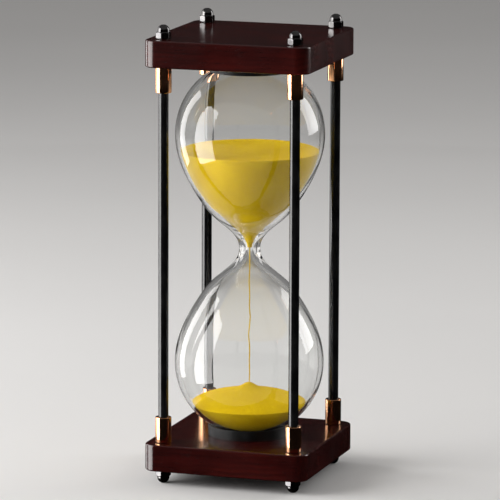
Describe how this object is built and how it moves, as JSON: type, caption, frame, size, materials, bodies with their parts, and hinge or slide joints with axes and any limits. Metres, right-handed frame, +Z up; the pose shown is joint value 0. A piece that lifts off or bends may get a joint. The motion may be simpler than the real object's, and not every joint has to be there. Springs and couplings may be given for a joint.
{
  "type": "hourglass",
  "caption": "Glass hourglass with yellow sand running, in a frame of square dark-red wood plates, slim black rods, brass ferrules and black acorn nuts.",
  "frame": {"origin": "centre of the footprint, on the surface that the four foot nuts stand on", "axes": "+Z up, through the neck of the glass; -Y is the front, and X and Y run along the plates' edges"},
  "size_m": [0.1, 0.1, 0.2716],
  "materials": {
    "mahogany_lacquer": "gloss",
    "black_lacquered_rod": "gloss",
    "rose_brass": "polished",
    "black_nickel": "polished",
    "clear_glass": "polished",
    "black_rubber": "matte",
    "grey_rubber": "matte",
    "yellow_sand": "matte"
  },
  "bodies": {
    "root": {"base_plate": "mahogany_lacquer", "top_plate": "mahogany_lacquer", "rod_front_left": "black_lacquered_rod", "rod_front_right": "black_lacquered_rod", "rod_rear_left": "black_lacquered_rod", "rod_rear_right": "black_lacquered_rod", "ferrule_lower_front_left": "rose_brass", "ferrule_lower_front_right": "rose_brass", "ferrule_lower_rear_left": "rose_brass", "ferrule_lower_rear_right": "rose_brass", "ferrule_upper_front_left": "rose_brass", "ferrule_upper_front_right": "rose_brass", "ferrule_upper_rear_left": "rose_brass", "ferrule_upper_rear_right": "rose_brass", "top_nut_front_left": "black_nickel", "top_nut_front_right": "black_nickel", "top_nut_rear_left": "black_nickel", "top_nut_rear_right": "black_nickel", "foot_nut_front_left": "black_nickel", "foot_nut_front_right": "black_nickel", "foot_nut_rear_left": "black_nickel", "foot_nut_rear_right": "black_nickel", "glass_bulbs": "clear_glass", "seat_ring_lower": "black_rubber", "seat_ring_upper": "black_rubber", "stopper": "grey_rubber", "sand_upper": "yellow_sand", "sand_stream": "yellow_sand", "sand_heap": "yellow_sand"}
  },
  "joints": []
}
